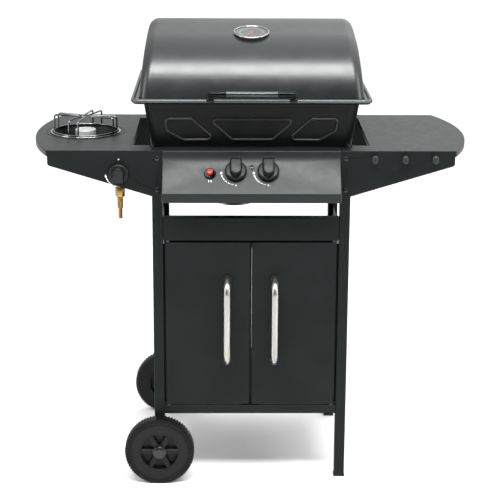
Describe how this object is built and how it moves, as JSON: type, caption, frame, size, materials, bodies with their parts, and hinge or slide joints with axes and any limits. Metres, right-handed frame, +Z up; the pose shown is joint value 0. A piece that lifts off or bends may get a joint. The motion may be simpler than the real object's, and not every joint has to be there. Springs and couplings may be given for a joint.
{
  "type": "gas barbecue grill",
  "caption": "Gas barbecue on a wheeled cabinet cart, with a hinged hood, control knobs, side shelves and a side burner.",
  "frame": {"origin": "on the floor, under the middle of the whole barbecue's bounding box", "axes": "+X to the right as one faces the doors, +Y to the back, +Z up"},
  "size_m": [1.0568, 0.5335, 1.1085],
  "materials": {
    "black_paint": "fine-textured black powder coat, satin",
    "lid_paint": "satin charcoal heat-proof enamel",
    "shelf_paint": "fine-textured dark grey powder coat",
    "firebox_paint": "satin black heat-proof enamel",
    "panel_paint": "satin graphite powder coat",
    "knob_plastic": "moulded black heat-proof plastic",
    "wheel_plastic": "moulded black plastic, fine grain",
    "cap_plastic": "black plastic",
    "brushed_steel": "brushed stainless tube",
    "zinc_steel": "zinc-plated steel",
    "chrome": "polished chrome",
    "cast_iron": "enamelled iron",
    "aluminium": "cast aluminium, satin",
    "brass": "machined brass",
    "rubber": "black silicone",
    "red_plastic": "gloss red plastic",
    "dial_print": "printed dial",
    "clear_glass": "clear glass",
    "galvanised": "galvanised sheet"
  },
  "bodies": {
    "frame": {"leg_front_left": "black_paint", "leg_front_right": "black_paint", "rear_legs": "black_paint", "leg_caps": "cap_plastic", "frame_rails": "black_paint", "wheel_axle": "zinc_steel", "bottom_shelf": "black_paint", "side_panels": "black_paint", "header_panel": "black_paint", "control_panel": "panel_paint", "fascia_left": "black_paint", "fascia_right": "black_paint", "rear_brackets": "black_paint", "shelf_left": "shelf_paint", "shelf_right": "shelf_paint", "hook_pegs": "black_paint", "panel_screws": "black_paint", "firebox": "firebox_paint", "main_burners": "galvanised", "firebox_brackets": "firebox_paint", "flame_tamers": "galvanised", "cooking_grates": "cast_iron", "warming_rack": "chrome", "gas_pipes": "zinc_steel", "main_valves": "brass", "side_valve": "brass", "burner_bowl": "chrome", "side_burner_head": "cast_iron", "side_burner_cap": "aluminium", "hose_fitting": "brass", "igniter_body": "cap_plastic", "lid_bumpers": "rubber", "hinge_brackets": "black_paint", "door_hinge_pins": "zinc_steel", "door_catches": "cap_plastic"},
    "lid": {"lid_shell": "lid_paint", "lid_handle_bar": "chrome", "lid_handle_mounts": "cap_plastic", "thermometer_case": "chrome", "thermometer_dial": "dial_print", "thermometer_glass": "clear_glass", "lid_hinges": "black_paint"},
    "pointer": {"thermometer_pointer": "red_plastic"},
    "door_left_body": {"door_left": "black_paint", "door_left_handle": "brushed_steel"},
    "door_right_body": {"door_right": "black_paint", "door_right_handle": "brushed_steel"},
    "wheel_front_body": {"wheel_front": "wheel_plastic", "hub_cap_front": "wheel_plastic"},
    "wheel_rear_body": {"wheel_rear": "wheel_plastic", "hub_cap_rear": "wheel_plastic"},
    "stem_left_body": {"stem_left": "brass"},
    "knob_left_body": {"knob_left": "knob_plastic"},
    "stem_right_body": {"stem_right": "brass"},
    "knob_right_body": {"knob_right": "knob_plastic"},
    "stem_side_body": {"stem_side": "brass"},
    "knob_side_body": {"knob_side": "knob_plastic"},
    "igniter_button_body": {"igniter_button": "red_plastic"},
    "pan_support_body": {"pan_support": "chrome"},
    "grease_cup_body": {"grease_cup": "galvanised"}
  },
  "joints": [
    {"name": "lid_hinge", "type": "hinge", "parent": "frame", "child": "lid", "pos_m": [0, 0.244, 0.947], "axis": [-1, 0, 0], "range_deg": [0, 95]},
    {"name": "pointer_turn", "type": "hinge", "parent": "lid", "child": "pointer", "pos_m": [0, -0.09175, 1.09587], "axis": [0, 0.2079, -0.9781], "range_deg": [0, 270]},
    {"name": "door_left_hinge", "type": "hinge", "parent": "frame", "child": "door_left_body", "pos_m": [-0.199, -0.1965, 0.4], "axis": [0, 0, -1], "range_deg": [0, 110]},
    {"name": "door_right_hinge", "type": "hinge", "parent": "frame", "child": "door_right_body", "pos_m": [0.199, -0.1965, 0.4], "axis": [0, 0, 1], "range_deg": [0, 110]},
    {"name": "wheel_front_spin", "type": "hinge", "parent": "frame", "child": "wheel_front_body", "pos_m": [-0.2225, -0.226, 0.083], "axis": [0, 1, 0], "continuous": true},
    {"name": "wheel_rear_spin", "type": "hinge", "parent": "frame", "child": "wheel_rear_body", "pos_m": [-0.2225, 0.245, 0.083], "axis": [0, 1, 0], "continuous": true},
    {"name": "knob_left_press", "type": "slide", "parent": "frame", "child": "stem_left_body", "axis": [0, 0.7447, -0.6674], "range_m": [0, 0.003], "stiffness_N_per_m": 900, "springref_m": -0.003},
    {"name": "knob_left_turn", "type": "hinge", "parent": "stem_left_body", "child": "knob_left_body", "pos_m": [-0.037, -0.22736, 0.78417], "axis": [0, -0.7447, 0.6674], "range_deg": [0, 180]},
    {"name": "knob_right_press", "type": "slide", "parent": "frame", "child": "stem_right_body", "axis": [0, 0.7447, -0.6674], "range_m": [0, 0.003], "stiffness_N_per_m": 900, "springref_m": -0.003},
    {"name": "knob_right_turn", "type": "hinge", "parent": "stem_right_body", "child": "knob_right_body", "pos_m": [0.039, -0.22736, 0.78417], "axis": [0, -0.7447, 0.6674], "range_deg": [0, 180]},
    {"name": "knob_side_press", "type": "slide", "parent": "frame", "child": "stem_side_body", "axis": [0, 1, 0], "range_m": [0, 0.003], "stiffness_N_per_m": 900, "springref_m": -0.003},
    {"name": "knob_side_turn", "type": "hinge", "parent": "stem_side_body", "child": "knob_side_body", "pos_m": [-0.312, -0.2042, 0.775], "axis": [0, -1, 0], "range_deg": [0, 180]},
    {"name": "igniter_press", "type": "slide", "parent": "frame", "child": "igniter_button_body", "axis": [0, 0.7447, -0.6674], "range_m": [0, 0.006], "stiffness_N_per_m": 500, "springref_m": -0.004},
    {"name": "pan_support_lift", "type": "slide", "parent": "frame", "child": "pan_support_body", "axis": [0, 0, 1], "range_m": [0, 0.12]},
    {"name": "grease_cup_slide", "type": "slide", "parent": "frame", "child": "grease_cup_body", "axis": [0, 1, 0], "range_m": [0, 0.12]}
  ]
}
